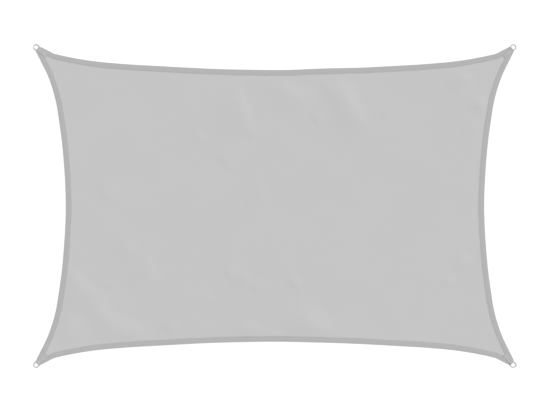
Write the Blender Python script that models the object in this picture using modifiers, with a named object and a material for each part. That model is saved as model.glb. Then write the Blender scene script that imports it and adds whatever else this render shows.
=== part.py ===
"""Rectangular shade sail with a folded hem, a webbing loop and a steel ring at each corner.

The sail lies flat on the ground, face up, with its long side along X and its short side along Y.
The origin is the middle of the sail at ground level. Blender's unit is the metre.

Run with: blender --background --python part.py
"""

import math
from collections import namedtuple

import bmesh
import bpy
import numpy as np
from mathutils import Vector

MM = 0.001

# --- Driving dimensions -------------------------------------------------------------------

SAIL_LENGTH = 3000 * MM  # along X, over the crowns of the rings
SAIL_WIDTH = 2009 * MM  # along Y, over the crowns of the rings
CORNER_AXIS = math.radians(45.5)  # the line of pull of a corner, from the X axis
CORNER_FLARE = math.radians(18.05)  # from that line to either straight edge of the corner

CLOTH_THICKNESS = 1.2 * MM
HEM_THICKNESS = 3.0 * MM  # three layers of cloth, folded up onto the top face
HEM_WIDTH = 36 * MM
HEM_WANDER = 1.2 * MM  # how far the hem's inner edge strays from a true line
HEM_WANDER_PITCH = 780 * MM
HEM_TAPER = 3.0 * MM  # how much narrower the hem is where it meets the next one
HEM_TAPER_RUN = 200 * MM
HEM_STEP_RUN = 1.0 * MM  # the slope from the hem's top down to the single cloth
HEM_STIFFENS = 105 * MM  # how far in from the outer edge the hem keeps the cloth from rising

RING_WIRE = 5.0 * MM
RING_ARC_RADIUS = 15.65 * MM  # to the middle of the wire
RING_BAR_SETBACK = 15.1 * MM  # from the arc's centre to the straight bar
RING_BEND_RADIUS = 4.0 * MM  # where the bar turns into the legs

WEBBING_WIDTH = 24 * MM
WEBBING_THICKNESS = 1.2 * MM
WEBBING_SLACK = 0.4 * MM  # between the ring's bar and the webbing round it
WEBBING_TAIL = 72 * MM  # how far each end of the loop lies along the corner
WEBBING_DROP = 14 * MM  # over which the upper end comes down from the bar onto the corner
PIECE_GAP = 0.3 * MM  # between pieces that lie on each other

CUT_END_SETBACK = 3.5 * MM  # from the ring's bar to the squared-off end of the corner
CUT_END_WIDTH = 40 * MM
CUT_END_STEP = 4 * MM  # from there to the next point of either edge

LIFT_LEVEL_TO = 85 * MM  # behind the bar, where the corner's cloth starts down to the ground
LIFT_GONE_AT = 150 * MM

# --- Detail of the meshes -----------------------------------------------------------------

PANEL_COLUMNS = 60
PANEL_ROWS = 40
OUTLINE_SAMPLES = 900
WIRE_SIDES = 8
RING_ARC_STEPS = 19  # odd, so that a flat of the wire lies right at the crown
RING_BEND_STEPS = 4
LOOP_ARC_STEPS = 10
LOOP_DROP_STEPS = 5
SHARP_FROM = math.radians(40)  # edges that turn by more than this are shaded sharp

# --- Tables, lengths in millimetres and angles in degrees ---------------------------------

# Half of each side's outer edge. "along" runs from the middle of the side to the corner, and
# "reach" is how far the edge lies from the sail's own middle line there.
Station = namedtuple("Station", "along reach")

LONG_SIDE = [
    Station(0, 843.5),
    Station(240, 848.0),
    Station(480, 855.5),
    Station(720, 868.0),
    Station(960, 882.5),
    Station(1145, 901.0),
    Station(1270, 922.0),
    Station(1345, 938.0),
    Station(1375, 946.0),
]
LONG_STRAIGHT_FROM = 1400 * MM

SHORT_SIDE = [
    Station(0, 1299.0),
    Station(160, 1304.0),
    Station(285, 1312.5),
    Station(405, 1324.0),
    Station(530, 1341.0),
    Station(655, 1362.0),
    Station(755, 1390.5),
    Station(840, 1424.0),
]
SHORT_STRAIGHT_FROM = 890 * MM

# Places where a side strays outward from its table, dying out over "spread" each way.
Stray = namedtuple("Stray", "side along spread outward")

STRAYS = [
    Stray("far", 330, 260, 3.4),
    Stray("far", -310, 240, -1.3),
    Stray("near", -300, 320, -1.5),
]

# Soft folds in the laid cloth. Each has the middle of its crest at x, y and the crest turned by
# "turn" from the X axis. "front" and "back" run from the crest to its foot on the far right and
# on the near left, and "height" is at its middle.
Fold = namedtuple("Fold", "x y turn length front back height")

FOLDS = [
    Fold(-1190, -526, -36, 520, 85, 220, 4.2),
    Fold(-1104, -640, -36, 270, 95, 160, 2.4),
    Fold(-940, -783, -27, 500, 105, 150, 4.4),
    Fold(-1247, -763, -40, 300, 100, 150, 3.8),
    Fold(-780, -403, -66, 290, 62, 170, 2.3),
    Fold(-911, -265, -45, 150, 65, 120, 2.2),
    Fold(-219, 599, -71, 430, 76, 200, 4.2),
    Fold(-95, 95, -72, 230, 55, 150, 2.1),
    Fold(-164, -783, -21, 290, 85, 120, 3.6),
    Fold(218, -732, -45, 440, 130, 190, 5.4),
    Fold(103, 687, -22, 360, 90, 170, 4.2),
    Fold(441, 600, -56, 490, 108, 150, 4.5),
    Fold(392, 687, -50, 260, 110, 120, 3.0),
    Fold(1161, 788, -40, 200, 75, 120, 3.6),
    Fold(1244, 633, -30, 200, 65, 70, 3.3),
    Fold(1161, -344, -55, 180, 60, 70, 2.5),
]

# The corners, with the signs of X and Y there.
Corner = namedtuple("Corner", "name side_x side_y")

CORNERS = [
    Corner("far_left", -1, 1),
    Corner("far_right", 1, 1),
    Corner("near_right", 1, -1),
    Corner("near_left", -1, -1),
]

# Principled BSDF settings, with the colour in linear light.
Finish = namedtuple("Finish", "colour roughness metallic")

CLOTH_FINISH = Finish((0.54, 0.54, 0.54), 0.85, 0.0)
WEBBING_FINISH = Finish((0.46, 0.46, 0.46), 0.8, 0.0)
STEEL_FINISH = Finish((0.62, 0.62, 0.61), 0.3, 1.0)

# --- Worked-out sizes ---------------------------------------------------------------------

WIRE_CORNER_RADIUS = RING_WIRE / 2 / math.cos(math.pi / WIRE_SIDES)  # over the wire's facets
LOOP_RADIUS = WIRE_CORNER_RADIUS + WEBBING_SLACK + WEBBING_THICKNESS / 2
BAR_HEIGHT = WEBBING_THICKNESS / 2 + LOOP_RADIUS
CORNER_LIFT = WEBBING_THICKNESS + PIECE_GAP  # a corner's cloth lies on the loop's lower end
UPPER_END_HEIGHT = CORNER_LIFT + HEM_THICKNESS + PIECE_GAP + WEBBING_THICKNESS / 2

# Points and directions in the far right corner, which the other corners mirror.
OUTWARD = Vector((math.cos(CORNER_AXIS), math.sin(CORNER_AXIS)))
ACROSS = Vector((-OUTWARD.y, OUTWARD.x))
RING_REACH = RING_ARC_RADIUS + RING_WIRE / 2
ARC_CENTRE = Vector((SAIL_LENGTH / 2 - RING_REACH, SAIL_WIDTH / 2 - RING_REACH))
BAR_CENTRE = ARC_CENTRE - OUTWARD * RING_BAR_SETBACK
APEX_AHEAD = CUT_END_WIDTH / 2 / math.tan(CORNER_FLARE) - CUT_END_SETBACK
APEX = BAR_CENTRE + OUTWARD * APEX_AHEAD  # where the corner's two edges would meet

APEX_ANGLE = 2 * CORNER_FLARE
LONG_SLOPE = math.tan(CORNER_AXIS - CORNER_FLARE)
SHORT_SLOPE = math.tan(math.pi / 2 - CORNER_AXIS - CORNER_FLARE)

# The cloth's lines of vertices, counted from each side: its outer edge, its hem's inner edge,
# the foot of the step down from the hem, and on across the single cloth.
LINE_INSETS = (0, HEM_WIDTH, HEM_WIDTH + HEM_STEP_RUN)
PANEL_LINE = len(LINE_INSETS) - 1
PANEL_INSET = LINE_INSETS[PANEL_LINE]
COLUMNS = PANEL_COLUMNS + 2 * PANEL_LINE
ROWS = PANEL_ROWS + 2 * PANEL_LINE


def smooth_step(share):
    """Rises from 0 to 1 with level ends as share does, and stays level beyond them."""
    share = min(max(share, 0.0), 1.0)
    return share * share * (3 - 2 * share)


def bump(share):
    """Falls from 1 to 0 on both sides of a share of 0, with a level top and level ends."""
    return np.clip(1 - share**2, 0, 1) ** 2


# --- Outline of the sail ------------------------------------------------------------------


def curve_through(xs, ys, end_slope, x):
    """Cubic curve through the stations, level at the first one and at end_slope at the last."""
    slopes = np.gradient(ys, xs)
    slopes[0] = 0.0
    slopes[-1] = end_slope
    k = np.clip(np.searchsorted(xs, x) - 1, 0, len(xs) - 2)
    span = xs[k + 1] - xs[k]
    t = (x - xs[k]) / span
    from_points = (1 + 2 * t) * (1 - t) ** 2 * ys[k] + t * t * (3 - 2 * t) * ys[k + 1]
    from_slopes = t * (1 - t) ** 2 * slopes[k] + t * t * (t - 1) * slopes[k + 1]
    return from_points + span * from_slopes


def side_reach(stations, straight_from, slope, apex_along, apex_reach, along):
    """How far a side's edge lies from the middle line, at distances along that side."""
    straight_reach = apex_reach - (apex_along - straight_from) * slope
    xs = np.array([station.along * MM for station in stations] + [straight_from])
    ys = np.array([station.reach * MM for station in stations] + [straight_reach])
    distance = np.abs(along)
    curved = curve_through(xs, ys, slope, np.minimum(distance, straight_from))
    return curved + np.maximum(distance - straight_from, 0) * slope


def strays_on(side, along):
    """How far outward the strays push a side, at distances along it."""
    strays = [stray for stray in STRAYS if stray.side == side]
    return sum(s.outward * MM * bump((along / MM - s.along) / s.spread) for s in strays)


class SideEdge:
    """One outer edge of the sail from apex to apex, measured by its own length."""

    def __init__(self, side):
        self.is_long = side in ("far", "near")
        self.sign = 1 if side in ("far", "right") else -1
        if self.is_long:
            apex_along, apex_reach = APEX.x, APEX.y
            shape = (LONG_SIDE, LONG_STRAIGHT_FROM, LONG_SLOPE)
        else:
            apex_along, apex_reach = APEX.y, APEX.x
            shape = (SHORT_SIDE, SHORT_STRAIGHT_FROM, SHORT_SLOPE)
        along = np.linspace(-apex_along, apex_along, OUTLINE_SAMPLES)
        reach = side_reach(*shape, apex_along, apex_reach, along) + strays_on(side, along)
        self.line = np.stack([along, self.sign * reach], axis=1)
        steps = np.linalg.norm(np.diff(self.line, axis=0), axis=1)
        self.distance = np.concatenate([[0], np.cumsum(steps)])
        self.length = self.distance[-1]
        direction = np.gradient(self.line, axis=0)
        direction /= np.linalg.norm(direction, axis=1)[:, None]
        self.inward = self.sign * np.stack([direction[:, 1], -direction[:, 0]], axis=1)

    def point(self, distance, inset):
        """The point this far along the edge, moved inwards by inset."""
        moved = self.line + inset * self.inward
        along, across = (np.interp(distance, self.distance, moved[:, k]) for k in (0, 1))
        return Vector((along, across)) if self.is_long else Vector((across, along))

    def line_start(self, inset):
        """How far along the edge the line at this inset starts, at its crossing or cut end."""
        if inset == 0:
            return CUT_END_WIDTH / 2 / math.sin(CORNER_FLARE) + CUT_END_STEP
        own, other = inset - HEM_TAPER, PANEL_INSET - HEM_TAPER
        return (other + own * math.cos(APEX_ANGLE)) / math.sin(APEX_ANGLE)

    def line_point(self, share, inset):
        """The point at a share of the way along the line at this inset."""
        start = self.line_start(inset)
        distance = start + share * (self.length - 2 * start)
        if inset > 0:
            wave = math.sin(2 * math.pi * distance / HEM_WANDER_PITCH + self.sign)
            from_end = min(distance, self.length - distance) - start
            inset += HEM_WANDER * math.sin(math.pi * share) * wave
            inset -= HEM_TAPER * bump(from_end / HEM_TAPER_RUN)
        return self.point(distance, inset)


LONG_EDGES = {1: SideEdge("far"), -1: SideEdge("near")}
SHORT_EDGES = {1: SideEdge("right"), -1: SideEdge("left")}


def corner_point(side_x, side_y, behind_bar, across):
    """A point of a corner, by how far it lies behind the ring's bar and off the line of pull."""
    place = BAR_CENTRE - OUTWARD * behind_bar + ACROSS * across
    return Vector((side_x * place.x, side_y * place.y))


# --- The cloth ----------------------------------------------------------------------------


def panel_point(u, v):
    """A point of the single cloth, at shares of its length and width between the four hems."""
    far, near = (LONG_EDGES[sign].line_point(u, PANEL_INSET) for sign in (1, -1))
    right, left = (SHORT_EDGES[sign].line_point(v, PANEL_INSET) for sign in (1, -1))
    far_left, far_right = (LONG_EDGES[1].line_point(end, PANEL_INSET) for end in (0, 1))
    near_left, near_right = (LONG_EDGES[-1].line_point(end, PANEL_INSET) for end in (0, 1))
    between_long = near.lerp(far, v)
    between_short = left.lerp(right, u)
    between_corners = near_left.lerp(near_right, u).lerp(far_left.lerp(far_right, u), v)
    return between_long + between_short - between_corners


def hem_corner_point(side_x, side_y, lines_x, lines_y):
    """A point where two hems cross, by how many lines it is in from each outer edge."""
    if lines_x == 1 and lines_y == 1:
        behind_bar = (HEM_WIDTH - HEM_TAPER) / math.sin(CORNER_FLARE) - APEX_AHEAD
        return corner_point(side_x, side_y, behind_bar, 0)
    across = (lines_x - lines_y) * CUT_END_WIDTH / 2
    return corner_point(side_x, side_y, CUT_END_SETBACK, across)


def cloth_point(i, j):
    """Where the cloth's line i across its length meets its line j along it, seen from above."""
    side_x, side_y = (1 if i > COLUMNS / 2 else -1), (1 if j > ROWS / 2 else -1)
    lines_x, lines_y = min(i, COLUMNS - i), min(j, ROWS - j)
    u, v = (i - PANEL_LINE) / PANEL_COLUMNS, (j - PANEL_LINE) / PANEL_ROWS
    if min(lines_x, lines_y) >= PANEL_LINE:
        return panel_point(u, v)
    if lines_x >= PANEL_LINE:
        return LONG_EDGES[side_y].line_point(u, LINE_INSETS[lines_y])
    if lines_y >= PANEL_LINE:
        return SHORT_EDGES[side_x].line_point(v, LINE_INSETS[lines_x])
    return hem_corner_point(side_x, side_y, lines_x, lines_y)


def lift_height(place):
    """How far the webbing under a corner holds the cloth off the ground."""
    behind_bar = (BAR_CENTRE - Vector((abs(place.x), abs(place.y)))) @ OUTWARD
    return CORNER_LIFT * smooth_step((LIFT_GONE_AT - behind_bar) / (LIFT_GONE_AT - LIFT_LEVEL_TO))


def fold_height(place):
    """How far the folds would lift the cloth at a point, away from the hems."""
    total = 0.0
    for fold in FOLDS:
        offset = place / MM - Vector((fold.x, fold.y))
        line = Vector((math.cos(math.radians(fold.turn)), math.sin(math.radians(fold.turn))))
        along = offset @ line / (fold.length / 2)
        across = line.cross(offset)
        reach = fold.front if across > 0 else fold.back
        total += fold.height * MM * bump(along) * bump(across / reach)
    return total


def freedom(i, j):
    """How free of the stiff hems the cloth is to rise where two of its lines meet, up to 1."""
    lines = min(i, COLUMNS - i, j, ROWS - j)
    inset = LINE_INSETS[min(lines, PANEL_LINE)]
    if lines > PANEL_LINE:
        u, v = (i - PANEL_LINE) / PANEL_COLUMNS, (j - PANEL_LINE) / PANEL_ROWS
        inset += min(min(u, 1 - u) * SAIL_LENGTH, min(v, 1 - v) * SAIL_WIDTH)
    return smooth_step(inset / HEM_STIFFENS)


def make_cloth():
    """The whole cloth, hem and all, as one sheet that is thicker where it is folded."""
    mesh = bpy.data.meshes.new("sail_cloth")
    sheet = bmesh.new()
    bmesh.ops.create_grid(sheet, x_segments=COLUMNS, y_segments=ROWS, size=1)
    layers = sheet.verts.layers.deform.verify()
    for vertex in sheet.verts:
        i = round((vertex.co.x + 1) / 2 * COLUMNS)
        j = round((vertex.co.y + 1) / 2 * ROWS)
        place = cloth_point(i, j)
        height = lift_height(place) + fold_height(place) * freedom(i, j)
        vertex.co = (place.x, place.y, height)
        in_hem = min(i, COLUMNS - i, j, ROWS - j) < PANEL_LINE
        vertex[layers][0] = 1.0 if in_hem else CLOTH_THICKNESS / HEM_THICKNESS
    sheet.to_mesh(mesh)
    sheet.free()
    cloth = bpy.data.objects.new("sail_cloth", mesh)
    cloth.vertex_groups.new(name="layers")
    thicken(cloth, HEM_THICKNESS, upward=True, share_group="layers")
    return cloth


# --- Corner pieces ------------------------------------------------------------------------


def loop_line():
    """The middle line of the webbing round the bar, as distance outward from it and height."""
    low, top = WEBBING_THICKNESS / 2, BAR_HEIGHT + LOOP_RADIUS
    line = [(-WEBBING_TAIL, low)]
    for step in range(LOOP_ARC_STEPS + 1):
        angle = math.pi * (step / LOOP_ARC_STEPS - 0.5)
        line.append((LOOP_RADIUS * math.cos(angle), BAR_HEIGHT + LOOP_RADIUS * math.sin(angle)))
    for step in range(1, LOOP_DROP_STEPS + 1):
        share = step / LOOP_DROP_STEPS
        line.append((-WEBBING_DROP * share, top + (UPPER_END_HEIGHT - top) * smooth_step(share)))
    line.append((-WEBBING_TAIL, UPPER_END_HEIGHT))
    return line


def make_loop():
    """A strip of webbing along the loop's line, which one corner's loop and its copies share."""
    line = loop_line()
    steps = len(line) - 1
    mesh = bpy.data.meshes.new("webbing_loop")
    strip = bmesh.new()
    bmesh.ops.create_grid(strip, x_segments=steps, y_segments=1, size=1)
    for vertex in strip.verts:
        outward, height = line[round((vertex.co.x + 1) / 2 * steps)]
        vertex.co = (outward, vertex.co.y * WEBBING_WIDTH / 2, height)
    bmesh.ops.recalc_face_normals(strip, faces=strip.faces)
    strip.to_mesh(mesh)
    strip.free()
    loop = bpy.data.objects.new("webbing_loop", mesh)
    thicken(loop, WEBBING_THICKNESS)
    return loop


def ring_line():
    """The middle line of the ring's wire, as distance outward from the bar and across it."""
    line = []
    for step in range(RING_ARC_STEPS + 1):
        angle = math.pi * (step / RING_ARC_STEPS - 0.5)
        outward = RING_BAR_SETBACK + RING_ARC_RADIUS * math.cos(angle)
        line.append((outward, RING_ARC_RADIUS * math.sin(angle)))
    bend = [math.pi / 2 * step / RING_BEND_STEPS for step in range(RING_BEND_STEPS + 1)]
    for side, angles in ((1, bend), (-1, reversed(bend))):
        for angle in angles:
            outward = RING_BEND_RADIUS * (1 - math.sin(angle))
            across = RING_ARC_RADIUS - RING_BEND_RADIUS * (1 - math.cos(angle))
            line.append((outward, side * across))
    return line


def make_ring_curve():
    """A closed wire bent to a D, with one flat of its facets facing up and one down."""
    line = ring_line()
    curve = bpy.data.curves.new("d_ring", "CURVE")
    curve.dimensions = "3D"
    curve.bevel_depth = WIRE_CORNER_RADIUS
    curve.bevel_resolution = (WIRE_SIDES - 4) // 2
    spline = curve.splines.new("POLY")
    spline.points.add(len(line) - 1)
    for point, (outward, across) in zip(spline.points, line):
        point.co = (outward, across, 0, 1)
        point.tilt = math.pi / WIRE_SIDES
    spline.use_cyclic_u = True
    return curve


def ring_dip():
    """The angle by which a ring leans down from its bar until its crown meets the ground."""
    foot = RING_BAR_SETBACK + RING_ARC_RADIUS + RING_WIRE / 2 * math.tan(math.pi / WIRE_SIDES)
    half_wire = RING_WIRE / 2
    return math.asin(BAR_HEIGHT / math.hypot(foot, half_wire)) - math.atan2(half_wire, foot)


# --- Assembly -----------------------------------------------------------------------------


def thicken(piece, thickness, upward=False, share_group=None):
    """Gives a sheet its thickness, half each way or all of it upward."""
    solidify = piece.modifiers.new("Solidify", "SOLIDIFY")
    solidify.thickness = thickness
    solidify.offset = 1 if upward else 0
    solidify.use_even_offset = True
    if share_group:
        solidify.vertex_group = share_group


def settle(piece):
    """Makes the modifiers' result the piece's own mesh, shaded smooth but for its sharp edges."""
    graph = bpy.context.evaluated_depsgraph_get()
    mesh = bpy.data.meshes.new_from_object(piece.evaluated_get(graph))
    piece.modifiers.clear()
    piece.data = mesh
    mesh.shade_smooth()
    mesh.set_sharp_from_angle(angle=SHARP_FROM)


def make_material(name, finish):
    """A Principled BSDF material with one of the finishes above."""
    material = bpy.data.materials.new(name)
    material.use_nodes = True
    shader = material.node_tree.nodes["Principled BSDF"]
    shader.inputs["Base Color"].default_value = (*finish.colour, 1)
    shader.inputs["Roughness"].default_value = finish.roughness
    shader.inputs["Metallic"].default_value = finish.metallic
    return material


def clear_scene():
    """Removes every object of the scene."""
    for old in list(bpy.data.objects):
        bpy.data.objects.remove(old)


def place_corner(corner, sail, loop_mesh, ring_curve):
    """Puts a corner's loop and ring at its ring's bar, turned to its line of pull."""
    place = corner_point(corner.side_x, corner.side_y, 0, 0)
    bar = bpy.data.objects.new(f"bar_{corner.name}", None)
    bar.location = (place.x, place.y, 0)
    bar.rotation_euler.z = math.atan2(corner.side_y * OUTWARD.y, corner.side_x * OUTWARD.x)
    loop = bpy.data.objects.new(f"webbing_loop_{corner.name}", loop_mesh)
    ring = bpy.data.objects.new(f"d_ring_{corner.name}", ring_curve)
    ring.location.z = BAR_HEIGHT
    ring.rotation_euler.y = ring_dip()
    for piece in (loop, ring):
        piece.parent = bar
    for item in (bar, loop, ring):
        sail.objects.link(item)


def build():
    """Makes every piece and puts it in its place."""
    clear_scene()
    sail = bpy.data.collections.new("shade_sail")
    bpy.context.scene.collection.children.link(sail)

    cloth = make_cloth()
    sail.objects.link(cloth)
    settle(cloth)
    cloth.data.materials.append(make_material("cloth", CLOTH_FINISH))

    loop = make_loop()
    sail.objects.link(loop)
    settle(loop)
    loop_mesh = loop.data
    bpy.data.objects.remove(loop)
    loop_mesh.materials.append(make_material("webbing", WEBBING_FINISH))

    ring_curve = make_ring_curve()
    ring_curve.materials.append(make_material("steel", STEEL_FINISH))

    for corner in CORNERS:
        place_corner(corner, sail, loop_mesh, ring_curve)


build()
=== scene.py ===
"""Looks of a rectangular shade sail that lies flat and face up on a white studio floor.

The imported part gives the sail's size and the places of its rings. Round it this script lays the
cloth with its creases, the folded hems, the sewing, the webbing loops and the corner rings.
Lengths are in metres, and tables are in millimetres and degrees where their columns say so.
"""

from __future__ import annotations

import logging
import math
from abc import ABC, abstractmethod
from collections.abc import Sequence
from dataclasses import dataclass
from enum import Enum
from typing import Any, ClassVar, NamedTuple, TypeAlias

import bmesh
import bpy
import numpy as np
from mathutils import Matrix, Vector


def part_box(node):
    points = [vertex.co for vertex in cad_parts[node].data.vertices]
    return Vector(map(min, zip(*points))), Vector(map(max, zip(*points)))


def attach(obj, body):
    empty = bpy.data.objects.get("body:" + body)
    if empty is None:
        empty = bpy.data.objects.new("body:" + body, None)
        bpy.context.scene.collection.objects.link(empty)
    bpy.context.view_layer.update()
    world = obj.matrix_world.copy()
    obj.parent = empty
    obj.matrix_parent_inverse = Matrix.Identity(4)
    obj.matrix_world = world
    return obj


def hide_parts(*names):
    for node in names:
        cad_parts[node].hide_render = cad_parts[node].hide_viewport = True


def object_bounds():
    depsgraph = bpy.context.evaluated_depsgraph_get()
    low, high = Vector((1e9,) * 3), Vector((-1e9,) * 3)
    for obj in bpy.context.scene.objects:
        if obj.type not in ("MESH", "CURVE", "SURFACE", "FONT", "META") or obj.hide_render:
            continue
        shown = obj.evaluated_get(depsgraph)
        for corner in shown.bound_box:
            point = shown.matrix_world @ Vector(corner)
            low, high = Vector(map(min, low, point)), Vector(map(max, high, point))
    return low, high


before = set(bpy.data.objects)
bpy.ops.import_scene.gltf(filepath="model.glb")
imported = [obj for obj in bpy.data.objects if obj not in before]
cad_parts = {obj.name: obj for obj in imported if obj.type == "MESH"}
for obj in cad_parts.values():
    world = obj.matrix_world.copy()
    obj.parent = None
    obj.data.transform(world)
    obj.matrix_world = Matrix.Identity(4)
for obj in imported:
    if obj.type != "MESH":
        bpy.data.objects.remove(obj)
cad_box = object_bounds()

MM = 0.001
BODY = "root"
GRAIN = "grain"
SHARP_FROM = math.radians(50)

Number: TypeAlias = "float | Wire"
Triple: TypeAlias = tuple[float, float, float]

log = logging.getLogger("shade_sail")


class Side(Enum):
    """A side of the sail, seen from above with +Y away from the viewer."""

    FAR = "far"
    NEAR = "near"
    RIGHT = "right"
    LEFT = "left"

    @property
    def is_long(self) -> bool:
        """Whether the side runs along X."""
        return self in (Side.FAR, Side.NEAR)

    @property
    def sign(self) -> int:
        """The sign of Y on a long side, and of X on a short one."""
        return 1 if self in (Side.FAR, Side.RIGHT) else -1


class Corner(Enum):
    """A corner of the sail, with the signs of X and Y there."""

    FAR_LEFT = (-1, 1)
    FAR_RIGHT = (1, 1)
    NEAR_RIGHT = (1, -1)
    NEAR_LEFT = (-1, -1)

    @property
    def label(self) -> str:
        """The corner's part of a piece's name."""
        return self.name.lower()


class Slot(Enum):
    """The record's material slots."""

    CLOTH = "cloth"
    WEBBING = "webbing"
    STEEL = "ring_steel"


# --- Shared arithmetic --------------------------------------------------------------------


def smooth_step(share: np.ndarray) -> np.ndarray:
    """Rises from 0 to 1 with level ends as share does, and stays level beyond them."""
    share = np.clip(share, 0.0, 1.0)
    return share * share * (3 - 2 * share)


def bump(share: np.ndarray) -> np.ndarray:
    """Falls from 1 to 0 on both sides of a share of 0, with a level top and level ends."""
    return np.clip(1 - share**2, 0, 1) ** 2


# The slow drifts of an uneven wave: each one's swing in radians, length in waves, and phase as a
# multiple of the wave's own.
DRIFTS = ((1.6, 7.3, 1), (0.9, 3.1, 2))


def uneven_wave(distance: np.ndarray, pitch: float, phase: float) -> np.ndarray:
    """A wave from -1 to 1 whose pitch wanders, as gathers along a hand-guided seam do.

    Args:
        distance: Distances along the seam.
        pitch: The mean length of a wave.
        phase: Where the wave starts, in radians, so that no two seams match.

    Returns:
        The wave's height at each distance.
    """
    turns = 2 * math.pi * distance / pitch
    drift = sum(swing * np.sin(turns / waves + own * phase) for swing, waves, own in DRIFTS)
    return np.sin(turns + drift + phase)


def middles(run: float, pitch: float) -> np.ndarray:
    """Distances along a run to the middles of the equal steps, nearest to a pitch, that fill it."""
    count = round(run / pitch)
    return (np.arange(count) + 0.5) * run / count


def unit(vectors: np.ndarray) -> np.ndarray:
    """The vectors of an array's rows, scaled to a length of 1."""
    return vectors / np.linalg.norm(vectors, axis=1)[:, None]


def run_along(line: np.ndarray) -> np.ndarray:
    """How far along a line each of its points is."""
    return np.concatenate([[0], np.cumsum(np.linalg.norm(np.diff(line, axis=0), axis=1))])


def beside(line: np.ndarray, heading: np.ndarray, left: np.ndarray) -> tuple[np.ndarray, ...]:
    """Both coordinates of points that lie to the left of a flat line by a row of distances each."""
    heading = unit(heading)
    return line[:, :1] - heading[:, 1:] * left, line[:, 1:] + heading[:, :1] * left


# --- The sail in plan ---------------------------------------------------------------------


class Station(NamedTuple):
    """A place on half of a side's outer edge, in millimetres.

    Attributes:
        along: Distance from the middle of the side towards the corner.
        reach: How far the edge lies from the sail's own middle line there.
    """

    along: float
    reach: float


class Stray(NamedTuple):
    """A place where a side strays outward from its stations, or inward where it is below 0.

    Attributes:
        side: The side that strays.
        along: The middle of the stray, from the middle of the side, in millimetres.
        spread: From there to where the stray ends, on both sides, in millimetres.
        outward: How far the side strays in the middle, in millimetres.
    """

    side: Side
    along: float
    spread: float
    outward: float


@dataclass(frozen=True)
class SailPlan:
    """The sail seen from above. Its corners are drawn for the far right one, and mirrored.

    Attributes:
        length: Along X, over the rings.
        width: Along Y, over the rings.
        corner_axis: The direction of a corner's pull, from the X axis.
        corner_flare: The angle between that direction and each of the corner's two edges.
        ring_reach: From the centre of a ring's crown arc to the wire's outer side.
        bar_setback: From that centre back to the middle of the ring's straight bar.
        cut_end_setback: From the bar back to the cloth's squared-off end.
        cut_end_width: The squared-off end's width.
        long_straight_from: From a long side's middle to where it runs on straight.
        short_straight_from: The same on a short side.
        long_side: The stations that both long sides are drawn through.
        short_side: The stations of both short sides.
        strays: Where a side departs from its stations.
    """

    length: float
    width: float
    corner_axis: float = math.radians(45.5)
    corner_flare: float = math.radians(18.05)
    ring_reach: float = 18.15 * MM
    bar_setback: float = 15.1 * MM
    cut_end_setback: float = 3.5 * MM
    cut_end_width: float = 40 * MM
    long_straight_from: float = 1400 * MM
    short_straight_from: float = 890 * MM
    long_side: tuple[Station, ...] = (
        Station(0, 843.5),
        Station(240, 848.0),
        Station(480, 855.5),
        Station(720, 868.0),
        Station(960, 882.5),
        Station(1145, 901.0),
        Station(1270, 922.0),
        Station(1345, 938.0),
        Station(1375, 946.0),
    )
    short_side: tuple[Station, ...] = (
        Station(0, 1299.0),
        Station(160, 1304.0),
        Station(285, 1312.5),
        Station(405, 1324.0),
        Station(530, 1341.0),
        Station(655, 1362.0),
        Station(755, 1390.5),
        Station(840, 1424.0),
    )
    strays: tuple[Stray, ...] = (
        Stray(Side.FAR, 330, 260, 3.4),
        Stray(Side.FAR, -310, 240, -1.3),
        Stray(Side.NEAR, -300, 320, -1.5),
    )

    @property
    def outward(self) -> np.ndarray:
        """The direction in which the far right corner is pulled."""
        return np.array([math.cos(self.corner_axis), math.sin(self.corner_axis)])

    @property
    def across(self) -> np.ndarray:
        """The direction square to the far right corner's pull."""
        return np.array([-math.sin(self.corner_axis), math.cos(self.corner_axis)])

    @property
    def bar_centre(self) -> np.ndarray:
        """The middle of the far right ring's straight bar."""
        arc_centre = np.array([self.length, self.width]) / 2 - self.ring_reach
        return arc_centre - self.outward * self.bar_setback

    @property
    def apex_to_cut(self) -> float:
        """From where a corner's two edges would meet back to its squared-off end."""
        return self.cut_end_width / 2 / math.tan(self.corner_flare)

    @property
    def apex(self) -> np.ndarray:
        """The point where the far right corner's two edges would meet."""
        return self.bar_centre + self.outward * (self.apex_to_cut - self.cut_end_setback)

    def corner_places(self, corner: Corner, outward: np.ndarray, across: np.ndarray) -> np.ndarray:
        """Points in plan, at distances outward and across from the middle of a ring's bar."""
        places = self.bar_centre + np.outer(outward, self.outward) + np.outer(across, self.across)
        return places * np.array(corner.value)

    def behind_bar(self, places: np.ndarray) -> np.ndarray:
        """How far places lie behind the ring bar of the corner nearest to each."""
        return (self.bar_centre - np.abs(places)) @ self.outward


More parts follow.
